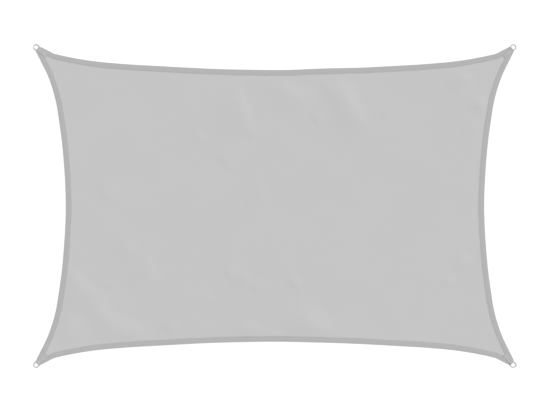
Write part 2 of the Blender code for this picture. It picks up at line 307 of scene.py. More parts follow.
class Edge:
    """One outer edge of the sail from apex to apex, measured by its own length."""

    SAMPLES = 2400

    def __init__(self, plan: SailPlan, side: Side) -> None:
        """Draws the edge through its stations.

        Args:
            plan: The sail's plan.
            side: The side that the edge belongs to.
        """
        self.plan = plan
        self.side = side
        axis, flare = plan.corner_axis, plan.corner_flare
        if side.is_long:
            self.apex_along, apex_reach = plan.apex
            self.slope = math.tan(axis - flare)
            stations, straight_from = plan.long_side, plan.long_straight_from
        else:
            apex_reach, self.apex_along = plan.apex
            self.slope = math.tan(math.pi / 2 - axis - flare)
            stations, straight_from = plan.short_side, plan.short_straight_from
        straight_reach = apex_reach - (self.apex_along - straight_from) * self.slope
        self.stations = [(s.along * MM, s.reach * MM) for s in stations]
        self.stations.append((straight_from, straight_reach))

        along = np.linspace(-self.apex_along, self.apex_along, self.SAMPLES)
        reach = side.sign * self.reach(along)
        self.line = np.stack((along, reach) if side.is_long else (reach, along), axis=1)
        self.distance = run_along(self.line)
        self.length = float(self.distance[-1])
        self.heading = unit(np.gradient(self.line, axis=0))
        turn = side.sign if side.is_long else -side.sign
        self.inward = turn * np.stack([self.heading[:, 1], -self.heading[:, 0]], axis=1)

    def reach(self, along: np.ndarray) -> np.ndarray:
        """How far the edge lies from the sail's middle line: a smooth curve through its stations.

        Args:
            along: Distances along the side from its middle.

        Returns:
            How far out the edge lies at each.
        """
        xs, ys = np.array(self.stations).T
        slopes = np.gradient(ys, xs)
        slopes[0], slopes[-1] = 0.0, self.slope
        distance = np.abs(along)
        x = np.minimum(distance, xs[-1])
        k = np.clip(np.searchsorted(xs, x) - 1, 0, len(xs) - 2)
        span = xs[k + 1] - xs[k]
        t = (x - xs[k]) / span
        level = (1 + 2 * t) * (1 - t) ** 2 * ys[k] + t * t * (3 - 2 * t) * ys[k + 1]
        rise = t * (1 - t) ** 2 * slopes[k] + t * t * (t - 1) * slopes[k + 1]
        strays = sum(
            stray.outward * MM * bump((along / MM - stray.along) / stray.spread)
            for stray in self.plan.strays
            if stray.side is self.side
        )
        return level + span * rise + (distance - x) * self.slope + strays

    def _read(self, table: np.ndarray, distance: np.ndarray) -> np.ndarray:
        """Rows of a table of the edge's samples, read at distances along it."""
        return np.stack([np.interp(distance, self.distance, column) for column in table.T], axis=-1)

    def places(self, distance: np.ndarray, inset: np.ndarray) -> np.ndarray:
        """Points in plan, at distances along the edge and moved in from it by insets."""
        depth = np.asarray(inset)[..., None]
        return self._read(self.line, distance) + depth * self._read(self.inward, distance)

    def headings(self, distance: np.ndarray) -> np.ndarray:
        """The edge's direction at distances along it."""
        return self._read(self.heading, distance)

    def cut_start(self, inset: np.ndarray) -> np.ndarray:
        """How far along the edge a line at this inset meets the corner's cut end."""
        flare = self.plan.corner_flare
        return (self.plan.apex_to_cut - np.asarray(inset) * math.sin(flare)) / math.cos(flare)

    def crossing_start(self, inset: float) -> float:
        """How far along the edge the lines at this inset of two neighbouring edges cross."""
        return inset / math.tan(self.plan.corner_flare)

    def inset_of(self, places: np.ndarray) -> np.ndarray:
        """How far places lie in from the edge, which is nearly straight over that distance.

        Args:
            places: The places in plan, a row of X and Y for each.

        Returns:
            Each one's distance from the edge, square to it.
        """
        along, out = (0, 1) if self.side.is_long else (1, 0)
        order = self.line[:, along]
        reach = np.interp(places[:, along], order, self.side.sign * self.line[:, out])
        square = np.interp(places[:, along], order, np.abs(self.inward[:, out]))
        return (reach - self.side.sign * places[:, out]) * square


@dataclass(frozen=True)
class Outline:
    """The sail's plan with its four outer edges."""

    plan: SailPlan
    edges: dict[Side, Edge]

    @classmethod
    def of(cls, plan: SailPlan) -> Outline:
        """Draws the four edges of a plan."""
        return cls(plan, {side: Edge(plan, side) for side in Side})

    def inset_of(self, places: np.ndarray, sides: Sequence[Side] = tuple(Side)) -> np.ndarray:
        """How far places lie in from the nearest of some sides' edges."""
        return np.min([self.edges[side].inset_of(places) for side in sides], axis=0)

    def area_and_rim(self) -> tuple[float, float]:
        """Measures the sail's plan.

        Returns:
            The area inside the outer edges, and their length, both with the cut ends.
        """
        area = rim = 0.0
        for edge in self.edges.values():
            start = edge.cut_start(0.0)
            distance = np.linspace(start, edge.length - start, Edge.SAMPLES)
            line = edge.places(distance, np.zeros_like(distance))
            a, b = line[:-1], line[1:]
            area += abs(float((a[:, 0] * b[:, 1] - a[:, 1] * b[:, 0]).sum())) / 2
            rim += edge.length - 2 * start
        cut_to_middle = float(np.linalg.norm(self.plan.bar_centre)) - self.plan.cut_end_setback
        area += len(Corner) * self.plan.cut_end_width * cut_to_middle / 2
        return area, rim + len(Corner) * self.plan.cut_end_width


# --- How the cloth lies -------------------------------------------------------------------


class Fold(NamedTuple):
    """A soft fold in the laid cloth, which rises gently to its crest and drops more steeply.

    Attributes:
        x: The middle of its crest along X, in millimetres.
        y: The middle of its crest along Y, in millimetres.
        turn: Its crest's angle from the X axis, in degrees.
        length: From end to end, in millimetres.
        front: From the crest to its foot on the far right side, in millimetres.
        back: From the crest to its foot on the near left side, in millimetres.
        height: At its middle, in millimetres.
    """

    x: float
    y: float
    turn: float
    length: float
    front: float
    back: float
    height: float

    def rise(self, places: np.ndarray) -> np.ndarray:
        """How far the fold lifts the cloth.

        Args:
            places: The places in plan, a row of X and Y for each.

        Returns:
            The lift at each place.
        """
        offset = places / MM - np.array([self.x, self.y])
        cos, sin = math.cos(math.radians(self.turn)), math.sin(math.radians(self.turn))
        along = offset @ np.array([cos, sin]) / (self.length / 2)
        across = offset[:, 1] * cos - offset[:, 0] * sin
        reach = np.where(across > 0, self.front, self.back)
        return self.height * MM * bump(along) * bump(across / reach)


@dataclass(frozen=True)
class Lay:
    """How the cloth lies on the floor: lifted by the webbing, rising in folds and creases."""

    outline: Outline
    corner_lift: float = 1.5 * MM
    lift_level_to: float = 85 * MM
    lift_gone_at: float = 150 * MM
    folds_fade_over: float = 105 * MM
    ripple_height: float = 0.22 * MM
    ripple_x: float = 83 * MM
    ripple_y: float = 67 * MM
    ripple_bend: float = 2.0
    ripple_bend_x: float = 170 * MM
    ripple_bend_y: float = 210 * MM
    folds: tuple[Fold, ...] = (
        Fold(-1214, -509, -36, 470, 85, 220, 4.2),
        Fold(-1104, -640, -36, 270, 95, 160, 2.4),
        Fold(-940, -783, -27, 500, 105, 150, 4.4),
        Fold(-1272, -742, -40, 300, 100, 150, 3.8),
        Fold(-780, -403, -66, 290, 62, 170, 2.3),
        Fold(-911, -265, -45, 150, 65, 120, 2.2),
        Fold(-1050, 88, -66, 190, 150, 48, 2.0),
        Fold(-1055, -684, -34, 190, 42, 100, 1.4),
        Fold(-1018, -492, -45, 80, 60, 30, 1.1),
        Fold(-655, -750, -27, 130, 80, 38, 2.0),
        Fold(-219, 599, -71, 430, 76, 200, 4.2),
        Fold(-464, 421, -50, 130, 50, 100, 1.8),
        Fold(-306, 284, -53, 170, 190, 45, 2.4),
        Fold(-145, 446, -60, 110, 110, 40, 1.4),
        Fold(-95, 95, -72, 230, 55, 150, 2.1),
        Fold(-277, -422, -48, 150, 110, 45, 2.4),
        Fold(-187, -455, -45, 130, 55, 90, 2.2),
        Fold(-125, -505, -47, 120, 100, 40, 1.7),
        Fold(-422, -583, -40, 130, 50, 100, 1.7),
        Fold(-164, -783, -21, 290, 85, 120, 3.6),
        Fold(218, -732, -45, 440, 130, 190, 5.4),
        Fold(118, -478, -32, 110, 60, 38, 2.4),
        Fold(103, 687, -22, 360, 90, 170, 4.2),
        Fold(465, 600, -57, 490, 108, 165, 4.0),
        Fold(415, 690, -50, 260, 110, 120, 2.8),
        Fold(502, 580, -62, 300, 40, 120, 1.0),
        Fold(318, 746, -53, 260, 110, 35, 1.2),
        Fold(265, 543, -45, 150, 120, 45, 2.2),
        Fold(685, 568, -70, 100, 90, 35, 1.5),
        Fold(1161, 788, -40, 200, 75, 120, 3.6),
        Fold(1262, 630, -30, 170, 75, 75, 2.8),
        Fold(1290, 615, -30, 110, 85, 34, 2.4),
        Fold(1240, 481, -20, 170, 55, 150, 1.9),
        Fold(1170, -340, -55, 180, 60, 105, 2.2),
        Fold(1080, -460, -45, 110, 45, 70, 1.8),
    )

    def height(self, places: np.ndarray) -> np.ndarray:
        """How far the cloth lies over the floor.

        Args:
            places: The places in plan, a row of X and Y for each.

        Returns:
            The height of the cloth's underside at each place.
        """
        behind = self.outline.plan.behind_bar(places)
        lift_share = (self.lift_gone_at - behind) / (self.lift_gone_at - self.lift_level_to)
        freedom = smooth_step(self.outline.inset_of(places) / self.folds_fade_over)
        x, y = places.T
        ripple = np.sin(x / self.ripple_x + self.ripple_bend * np.sin(y / self.ripple_bend_y))
        ripple = ripple * np.sin(y / self.ripple_y + np.sin(x / self.ripple_bend_x))
        lifted = smooth_step(lift_share)
        folded = sum(fold.rise(places) for fold in self.folds) * freedom
        rippled = self.ripple_height * (1 + ripple) * (1 - lifted)
        return self.corner_lift * lifted + folded + rippled


# --- Shading ------------------------------------------------------------------------------


class Wire:
    """A number that a node gives out. Arithmetic on it adds Math nodes to its tree."""

    def __init__(self, shading: Shading, socket: bpy.types.NodeSocket) -> None:
        """Wraps an output socket of a shading's tree."""
        self.shading = shading
        self.socket = socket

    def math(self, operation: str, *numbers: Number) -> Wire:
        """The result of a Math node with these numbers as its inputs."""
        node = self.shading.node("ShaderNodeMath", {"operation": operation}, dict(enumerate(numbers)))
        return Wire(self.shading, node.outputs[0])

    def __add__(self, other: Number) -> Wire:
        """Adds."""
        return self.math("ADD", self, other)

    def __sub__(self, other: Number) -> Wire:
        """Takes away."""
        return self.math("SUBTRACT", self, other)

    def __rsub__(self, other: Number) -> Wire:
        """Takes away from a number on the left."""
        return self.math("SUBTRACT", other, self)

    def __mul__(self, other: Number) -> Wire:
        """Multiplies."""
        return self.math("MULTIPLY", self, other)

    def __truediv__(self, other: Number) -> Wire:
        """Divides by a number."""
        return self.math("DIVIDE", self, other)

    def __rtruediv__(self, other: Number) -> Wire:
        """Divides a number on the left."""
        return self.math("DIVIDE", other, self)

    def __pow__(self, other: Number) -> Wire:
        """Raises to a power."""
        return self.math("POWER", self, other)

    def __rpow__(self, other: Number) -> Wire:
        """Raises a number on the left to this power."""
        return self.math("POWER", other, self)

    def __gt__(self, other: Number) -> Wire:
        """Gives 1 where it is greater, and 0 elsewhere."""
        return self.math("GREATER_THAN", self, other)

    def __lt__(self, other: Number) -> Wire:
        """Gives 1 where it is less, and 0 elsewhere."""
        return self.math("LESS_THAN", self, other)

    __radd__ = __add__
    __rmul__ = __mul__

    def __abs__(self) -> Wire:
        """Drops the sign."""
        return self.math("ABSOLUTE", self)

    def sine(self) -> Wire:
        """The sine, of an angle in radians."""
        return self.math("SINE", self)

    def at_most(self, limit: Number) -> Wire:
        """The lesser of it and a limit."""
        return self.math("MINIMUM", self, limit)


class Shading:
    """The node tree of one material, with the calls that its finish needs."""

    # A Mix node's sockets for colours, by number, since its other kinds of socket share their names.
    COLOUR_FACTOR, COLOUR_A, COLOUR_B, COLOUR_RESULT = 0, 6, 7, 2

    def __init__(self, name: str, constants: dict[str, Any]) -> None:
        """Starts a material with one Principled shader.

        Args:
            name: The material's name.
            constants: The shader's settings that are the same all over.
        """
        self.material = bpy.data.materials.new(name)
        self.material.use_nodes = True
        self.tree = self.material.node_tree
        self.shader = self.tree.nodes["Principled BSDF"]
        for socket, value in constants.items():
            self.shader.inputs[socket].default_value = value

    def node(
        self, kind: str, settings: dict[str, Any], sockets: dict[str | int, Any]
    ) -> bpy.types.Node:
        """Adds a node of any kind.

        Args:
            kind: The node's type.
            settings: Its own settings, which are set first.
            sockets: The value of each input socket, or the wire or socket that feeds it.

        Returns:
            The node.
        """
        node = self.tree.nodes.new(kind)
        for name, value in settings.items():
            setattr(node, name, value)
        for key, value in sockets.items():
            self.feed(node.inputs[key], value)
        return node

    def feed(self, socket: bpy.types.NodeSocket, value: Any) -> None:
        """Sets an input socket to a value, or links what feeds it.

        Args:
            socket: The input socket.
            value: A plain value, a wire or an output socket.
        """
        if isinstance(value, Wire):
            value = value.socket
        if isinstance(value, bpy.types.NodeSocket):
            self.tree.links.new(value, socket)
        else:
            socket.default_value = value

    def mix(self, low: Any, high: Any, factor: Wire) -> bpy.types.NodeSocket:
        """Mixes two colours.

        Args:
            low: The colour at a factor of 0.
            high: The colour at a factor of 1.
            factor: The share of the second.

        Returns:
            The mixed colour.
        """
        node = self.node(
            "ShaderNodeMix",
            {"data_type": "RGBA", "clamp_factor": True},
            {self.COLOUR_FACTOR: factor, self.COLOUR_A: low, self.COLOUR_B: high},
        )
        return node.outputs[self.COLOUR_RESULT]

    def place(self) -> tuple[bpy.types.NodeSocket, Wire, Wire, Wire]:
        """Reads where a point lies on the unfolded material.

        Returns:
            The place as a vector, and its three parts.
        """
        grain = self.node("ShaderNodeAttribute", {"attribute_name": GRAIN}, {}).outputs["Vector"]
        parts = self.node("ShaderNodeSeparateXYZ", {}, {"Vector": grain}).outputs
        return grain, *(Wire(self, part) for part in parts)

    def noise(
        self, vector: bpy.types.NodeSocket, per_metre: Sequence[float], detail: float = 2.0
    ) -> Wire:
        """Soft noise from 0 to 1.

        Args:
            vector: Where the point lies, in metres.
            per_metre: How many swings there are in a metre along each axis.
            detail: How many finer layers are added.

        Returns:
            The noise.
        """
        scaled = self.node("ShaderNodeVectorMath", {"operation": "MULTIPLY"}, {0: vector, 1: per_metre})
        sockets = {"Vector": scaled.outputs["Vector"], "Scale": 1.0, "Detail": detail}
        return Wire(self, self.node("ShaderNodeTexNoise", {}, sockets).outputs["Fac"])

    def relief(self, height: Wire, depth: float) -> None:
        """Feeds the shader's normal with a relief whose height of 1 stands for depth."""
        node = self.node("ShaderNodeBump", {}, {"Height": height, "Distance": depth})
        self.tree.links.new(node.outputs["Normal"], self.shader.inputs["Normal"])

    def paint(self, colour: bpy.types.NodeSocket, roughness: Wire) -> None:
        """Feeds the shader's base colour and roughness."""
        self.feed(self.shader.inputs["Base Color"], colour)
        self.feed(self.shader.inputs["Roughness"], roughness)


def grey(level: float, blue: float = 1.0) -> tuple[float, float, float, float]:
    """A neutral colour in linear light, or a warmer one with only a share of its blue."""
    return level, level, level * blue, 1.0


@dataclass(frozen=True)
class Finish(ABC):
    """A finish that runs between two greys, with grain, wear and relief of its own kind.

    A field whose name ends in _tone, _roughness or _relief is what a grain, a wear or a painted shade
    adds to the tone, the roughness or the relief where it is strongest.

    Attributes:
        name: The material's name.
        light: The lighter grey, in linear light.
        dark: The darker grey.
    """

    CONSTANTS: ClassVar[dict[str, Any]] = {}
    BLUE: ClassVar[float] = 1.0

    name: str
    light: float
    dark: float

    @abstractmethod
    def dress(self, shading: Shading) -> None:
        """Adds what varies over the surface."""

    def tinted(self, shading: Shading, tone: Wire) -> bpy.types.NodeSocket:
        """The colour at a tone, from the darker grey at 0 to the lighter at 1."""
        return shading.mix(grey(self.dark, self.BLUE), grey(self.light, self.BLUE), tone)

    def material(self) -> bpy.types.Material:
        """Makes the finish's material.

        Returns:
            The material.
        """
        shading = Shading(self.name, self.CONSTANTS)
        self.dress(shading)
        return shading.material


@dataclass(frozen=True)
class WovenCloth(Finish):
    """Plain-woven polyester cloth, with slubs in its yarns and slightly uneven dyeing."""

    CONSTANTS = {"Sheen Weight": 0.08, "Sheen Roughness": 0.5, "Specular IOR Level": 0.25}

    yarn_pitch: float = 0.9 * MM
    relief_depth: float = 0.12 * MM
    crown_across: float = 0.6
    crown_along: float = 0.35
    slubs_across: float = 420
    slubs_along: float = 9
    dye_patches: Triple = (2.6, 3.1, 1)
    rubbed_patches: Triple = (34, 27, 1)
    weave_painted_shade_tone: float = 0.30
    slub_tone: float = 0.30
    dye_tone: float = 0.30
    rubbed_tone: float = 0.10
    roughness: float = 0.74
    rubbed_roughness: float = 0.16
    slub_roughness: float = 0.06
    slub_relief: float = 0.5

    def dress(self, shading: Shading) -> None:
        """Weaves, dyes and rubs the cloth, and paints shade into the hollows of its weave.

        Args:
            shading: The material's nodes.
        """
        grain, x, y, _ = shading.place()
        warp = (x * (math.pi / self.yarn_pitch)).sine()
        weft = (y * (math.pi / self.yarn_pitch)).sine()
        warp_on_top = warp * weft > 0.0
        over, under = abs(warp), abs(weft)
        warp_crown = over**self.crown_across * under**self.crown_along
        weft_crown = under**self.crown_across * over**self.crown_along
        weave = warp_on_top * warp_crown + (1 - warp_on_top) * weft_crown

        warp_slubs = shading.noise(grain, (self.slubs_across, self.slubs_along, 1), detail=1.0)
        weft_slubs = shading.noise(grain, (self.slubs_along, self.slubs_across, 1), detail=1.0)
        slubs = warp_on_top * warp_slubs + (1 - warp_on_top) * weft_slubs
        dye = shading.noise(grain, self.dye_patches, detail=3.0)
        rubbed = shading.noise(grain, self.rubbed_patches, detail=4.0)
        # Painted shade: the weave's hollows are painted darker and its yarn crowns lighter.
        tone = self.weave_painted_shade_tone * weave + self.slub_tone * slubs
        tone = tone + self.dye_tone * dye + self.rubbed_tone * rubbed
        roughness = self.roughness + self.rubbed_roughness * rubbed + self.slub_roughness * slubs
        shading.paint(self.tinted(shading, tone), roughness)
        shading.relief(weave + self.slub_relief * slubs, self.relief_depth)


@dataclass(frozen=True)
class SewingThread(Finish):
    """Twisted polyester thread, a shade off the cloth that it sews."""

    CONSTANTS = {"Sheen Weight": 0.15, "Specular IOR Level": 0.35}

    twist_pitch: float = 0.7 * MM
    relief_depth: float = 0.05 * MM
    worn_patches: Triple = (160, 1, 160)
    tone: float = 0.5
    ply_painted_shade_tone: float = 0.25
    worn_tone: float = 0.5
    roughness: float = 0.5
    worn_roughness: float = 0.2

    def dress(self, shading: Shading) -> None:
        """Twists and wears the thread, and paints shade into the grooves of its twist. Its grain holds
        its run and its turn round itself.

        Args:
            shading: The material's nodes.
        """
        grain, along, round_it, _ = shading.place()
        ply = (along * (2 * math.pi / self.twist_pitch) + round_it * (2 * math.pi)).sine()
        wear = shading.noise(grain, self.worn_patches)
        # Painted shade: the grooves between the plies are painted darker and the plies lighter.
        tone = self.tone + self.ply_painted_shade_tone * ply + self.worn_tone * (wear - 0.5)
        shading.paint(self.tinted(shading, tone), self.roughness + self.worn_roughness * wear)
        shading.relief(ply, self.relief_depth)


@dataclass(frozen=True)
class WovenWebbing(Finish):
    """Heavy polyester webbing in a herringbone of short floats, heat-sealed at its cut ends."""

    CONSTANTS = {"Sheen Weight": 0.12, "Specular IOR Level": 0.3}

    sealed: float
    rib_pitch: float
    length: float
    pick_pitch: float = 1.5 * MM
    pick_slant: float = 0.9
    relief_depth: float = 0.16 * MM
    seal_width: float = 2.5 * MM
    fibres_per_metre: Triple = (900, 2600, 1)
    soiled_patches: Triple = (60, 60, 1)
    pick_painted_shade_tone: float = 0.40
    rib_painted_shade_tone: float = 0.25
    fibre_tone: float = 0.20
    soil_tone: float = 0.15
    roughness: float = 0.45
    woven_roughness: float = 0.3
    fibre_roughness: float = 0.1
    fibre_relief: float = 0.4

    def dress(self, shading: Shading) -> None:
        """Weaves and soils the webbing, paints shade in its ribs' and floats' grooves, melts its ends.

        Args:
            shading: The material's nodes.
        """
        grain, along, across, _ = shading.place()
        rib = (across * (math.pi / self.rib_pitch)).sine()
        lean = (rib > 0.0) * 2 - 1
        slanted = along + lean * across * self.pick_slant
        pick = abs((slanted * (math.pi / self.pick_pitch)).sine())
        fibres = shading.noise(grain, self.fibres_per_metre)
        soil = shading.noise(grain, self.soiled_patches, detail=3.0)
        # Painted shade: the grooves between the floats and between the ribs are painted darker, their
        # crowns lighter.
        tone = self.pick_painted_shade_tone * pick + self.rib_painted_shade_tone * abs(rib)
        tone = tone + self.fibre_tone * fibres + self.soil_tone * soil
        to_end = self.length / 2 - abs(along - self.length / 2)
        woven = (to_end / self.seal_width).at_most(1.0)
        colour = shading.mix(grey(self.sealed), self.tinted(shading, tone), woven)
        roughness = self.roughness + self.woven_roughness * woven + self.fibre_roughness * fibres
        shading.paint(colour, roughness)
        shading.relief(pick * woven + self.fibre_relief * fibres, self.relief_depth)


@dataclass(frozen=True)
class SatinSteel(Finish):
    """Tumbled stainless steel wire, with faint drawing marks along it and handling smudges."""

    CONSTANTS = {"Metallic": 1.0}
    BLUE = 0.985

    drawn_marks: Triple = (60, 9000, 9000)
    pits_per_metre: float = 2600
    smudges_per_metre: float = 70
    relief_depth: float = 0.012 * MM
    drawn_tone: float = 0.35
    pit_tone: float = 0.25
    smudge_tone: float = 0.40
    roughness: float = 0.3
    smudge_roughness: float = 0.14
    drawn_roughness: float = 0.1
    drawn_relief: float = 0.7
    pit_relief: float = 0.3

    def dress(self, shading: Shading) -> None:
        """Draws, tumbles and handles the wire.

        Args:
            shading: The material's nodes.
        """
        grain = shading.place()[0]
        drawn = shading.noise(grain, self.drawn_marks)
        pits = shading.noise(grain, (self.pits_per_metre,) * 3, detail=3.0)
        smudge = shading.noise(grain, (self.smudges_per_metre,) * 3, detail=3.0)
        tone = self.drawn_tone * drawn + self.pit_tone * pits + self.smudge_tone * smudge
        roughness = self.roughness + self.smudge_roughness * smudge + self.drawn_roughness * drawn
        shading.paint(self.tinted(shading, tone), roughness)
        shading.relief(self.drawn_relief * drawn + self.pit_relief * pits, self.relief_depth)


@dataclass(frozen=True)
class StudioWhite(Finish):
    """A floor painted white, which glows a little so that it comes out as white as paper."""

    CONSTANTS = {
        "Specular IOR Level": 0.1,
        "Emission Color": grey(1.0),
        "Emission Strength": 0.16,
    }

    mottles_per_metre: float = 1.7
    roughness: float = 0.6
    mottle_roughness: float = 0.2

    def dress(self, shading: Shading) -> None:
        """Mottles the paint.

        Args:
            shading: The material's nodes.
        """
        place = shading.node("ShaderNodeTexCoord", {}, {}).outputs["Object"]
        mottle = shading.noise(place, (self.mottles_per_metre,) * 3, detail=3.0)
        shading.paint(self.tinted(shading, mottle), self.roughness + self.mottle_roughness * mottle)


# --- Meshes -------------------------------------------------------------------------------


def grid_faces(rows: int, columns: int, around: bool = False) -> np.ndarray:
    """Quads between the points of a grid that are numbered row by row.

    Args:
        rows: The number of rows of points.
        columns: The number of points in a row.
        around: Whether each row closes on itself.

    Returns:
        An array of four point numbers for each face.
    """
    steps = columns if around else columns - 1
    row, step = np.meshgrid(np.arange(rows - 1), np.arange(steps), indexing="ij")
    first, after = row * columns + step, row * columns + (step + 1) % columns
    return np.stack([first, after, after + columns, first + columns], axis=-1).reshape(-1, 4)


def tube_faces(rings: int, points: int) -> list[list[int]]:
    """Faces of a closed tube whose rings of points are numbered one after another.

    Args:
        rings: The number of rings.
        points: The number of points in a ring.

    Returns:
        The point numbers of each face, with a cap at both ends.
    """
    last = (rings - 1) * points
    caps = [list(range(points - 1, -1, -1)), list(range(last, last + points))]
    return grid_faces(rings, points, around=True).tolist() + caps


def add_object(name: str, data: bpy.types.ID) -> bpy.types.Object:
    """Adds an object to the scene.

    Args:
        name: The object's name.
        data: Its mesh, light or camera.

    Returns:
        The object.
    """
    item = bpy.data.objects.new(name, data)
    bpy.context.scene.collection.objects.link(item)
    return item


def add_piece(
    name: str, points: np.ndarray, faces: Sequence[Sequence[int]],
    finish: bpy.types.Material, slot: Slot, grain: np.ndarray,
) -> bpy.types.Object:
    """Adds a smooth-shaded piece that rides on the sail.

    Args:
        name: The piece's name.
        points: Its points, a row of X, Y and Z for each.
        faces: The point numbers of each face.
        finish: Its material.
        slot: The record's slot for its finish. It is not used.
        grain: Where each point lies on the unfolded material, a row of two or three for each.

    Returns:
        The piece.
    """
    mesh = bpy.data.meshes.new(name)
    mesh.from_pydata(points.tolist(), [], faces)
    unfolded = np.zeros((len(points), 3), np.float32)
    unfolded[:, : grain.shape[1]] = grain
    mesh.attributes.new(GRAIN, "FLOAT_VECTOR", "POINT").data.foreach_set("vector", unfolded.ravel())
    shell = bmesh.new()
    shell.from_mesh(mesh)
    bmesh.ops.recalc_face_normals(shell, faces=shell.faces)
    shell.to_mesh(mesh)
    shell.free()
    mesh.shade_smooth()
    mesh.set_sharp_from_angle(angle=SHARP_FROM)
    mesh.materials.append(finish)
    piece = add_object(name, mesh)
    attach(piece, BODY)
    log.info("%s: %d points, %d faces", name, len(points), len(faces))
    return piece


@dataclass(frozen=True)
class Stitches:
    """Lockstitches of round thread, each a short arc that dips into the cloth at both ends."""

    finish: bpy.types.Material
    slot: Slot
    thread: float = 0.6 * MM
    stitch_share: float = 0.9
    bow: float = 0.16 * MM
    slant: float = math.radians(5)
    sides: int = 5
    uneven: float = 0.05
    stations: tuple[float, ...] = (-1.0, -0.5, 0.5, 1.0)
    swell: tuple[float, ...] = (0.35, 1.0, 1.0, 0.35)

    def sew(
        self, name: str, places: np.ndarray, headings: np.ndarray, pitch: float, up: float = 1.0
    ) -> bpy.types.Object:
        """Sews one stitch at each place, all joined in one piece.

        Args:
            name: The piece's name.
            places: The middle of each stitch on the surface, a row of X, Y and Z.
            headings: The direction of each stitch in plan, a row of X and Y.
            pitch: From one stitch to the next.
            up: 1 on an upper face, and -1 on an underside.

        Returns:
            The joined stitches.
        """
        count, rings = len(places), len(self.stations)
        # The number of stitches seeds their unevenness, so that it comes out the same each time.
        rng = np.random.default_rng(count)
        turn = self.slant + self.uneven * rng.standard_normal(count)
        cos, sin = np.cos(turn), np.sin(turn)
        hx, hy = headings.T
        forward = np.stack([hx * cos - hy * sin, hx * sin + hy * cos], axis=1)
        sideways = np.stack([-forward[:, 1], forward[:, 0]], axis=1)
        half = pitch * self.stitch_share / 2 * (1 + self.uneven * rng.standard_normal(count))

        along = np.repeat(self.stations, self.sides)
        radius = np.repeat(self.swell, self.sides) * self.thread / 2
        angle = np.tile(np.arange(self.sides) * 2 * math.pi / self.sides, rings)
        rise = self.bow * (1 - 2 * along**2) + radius * np.sin(angle)
        side = radius * np.cos(angle)

        points = np.empty((count, rings * self.sides, 3))
        points[:, :, :2] = (
            places[:, None, :2]
            + forward[:, None] * (half[:, None] * along)[..., None]
            + sideways[:, None] * side[None, :, None]
        )
        points[:, :, 2] = places[:, None, 2] + up * rise
        run = np.cumsum(np.full(count, pitch))[:, None] + half[:, None] * along
        grain = np.stack([run, np.broadcast_to(angle / (2 * math.pi), run.shape)], axis=-1)

        stitch = tube_faces(rings, self.sides)
        step = rings * self.sides
        faces = [[k * step + point for point in face] for k in range(count) for face in stitch]
        points, grain = points.reshape(-1, 3), grain.reshape(-1, 2)
        return add_piece(name, points, faces, self.finish, self.slot, grain)


@dataclass(frozen=True)
class Panel:
    """The single cloth, which runs on under the hems to the roll of their outer edge."""

    lay: Lay
    finish: bpy.types.Material
    columns: int = 270
    rows: int = 172
    rim_inset: float = 1.5 * MM
    middle_level: float = 0.65 * MM
    thickness: float = 0.5 * MM

    def _boundary(self, side: Side, shares: np.ndarray) -> np.ndarray:
        """Points on the line where the panel ends in a hem's roll.

        Args:
            side: The side whose hem it is.
            shares: How far along the line each point is, from 0 to 1.

        Returns:
            The points in plan, a row of X and Y for each.
        """
        edge = self.lay.outline.edges[side]
        start = edge.crossing_start(self.rim_inset)
        distance = start + shares * (edge.length - 2 * start)
        return edge.places(distance, np.full_like(distance, self.rim_inset))

    def _cut_corners(self, places: np.ndarray) -> tuple[np.ndarray, np.ndarray]:
        """Cuts the grid off square at the corners.

        Args:
            places: The grid's points in plan.

        Returns:
            The points that are left, and the faces between them.
        """
        plan = self.lay.outline.plan
        beyond_cut = plan.cut_end_setback + self.rim_inset - plan.behind_bar(places)
        faces = grid_faces(self.rows + 1, self.columns + 1)
        faces = faces[(beyond_cut[faces] < 0).any(axis=1)]
        used, faces = np.unique(faces, return_inverse=True)
        pull = np.sign(places) * plan.outward
        places = places - np.maximum(beyond_cut, 0)[:, None] * pull
        return places[used], faces.reshape(-1, 4)

    def build(self) -> bpy.types.Object:
        """Blends the panel's grid in from its four boundary lines and lays it on the floor.

        Returns:
            The panel, which still carries its Solidify modifier.
        """
        u, v = np.linspace(0, 1, self.columns + 1), np.linspace(0, 1, self.rows + 1)
        far, near = self._boundary(Side.FAR, u), self._boundary(Side.NEAR, u)
        right, left = self._boundary(Side.RIGHT, v), self._boundary(Side.LEFT, v)
        uu, vv = u[None, :, None], v[:, None, None]
        between_long = near[None] * (1 - vv) + far[None] * vv
        between_short = left[:, None] * (1 - uu) + right[:, None] * uu
        low = near[0] * (1 - uu) + near[-1] * uu
        high = far[0] * (1 - uu) + far[-1] * uu
        places = (between_long + between_short - low * (1 - vv) - high * vv).reshape(-1, 2)
        places, faces = self._cut_corners(places)
        points = np.column_stack([places, self.lay.height(places) + self.middle_level])
        panel = add_piece("sail_panel", points, faces.tolist(), self.finish, Slot.CLOTH, places)
        solidify = panel.modifiers.new("Thickness", "SOLIDIFY")
        solidify.thickness = self.thickness
        solidify.offset = 0
        return panel


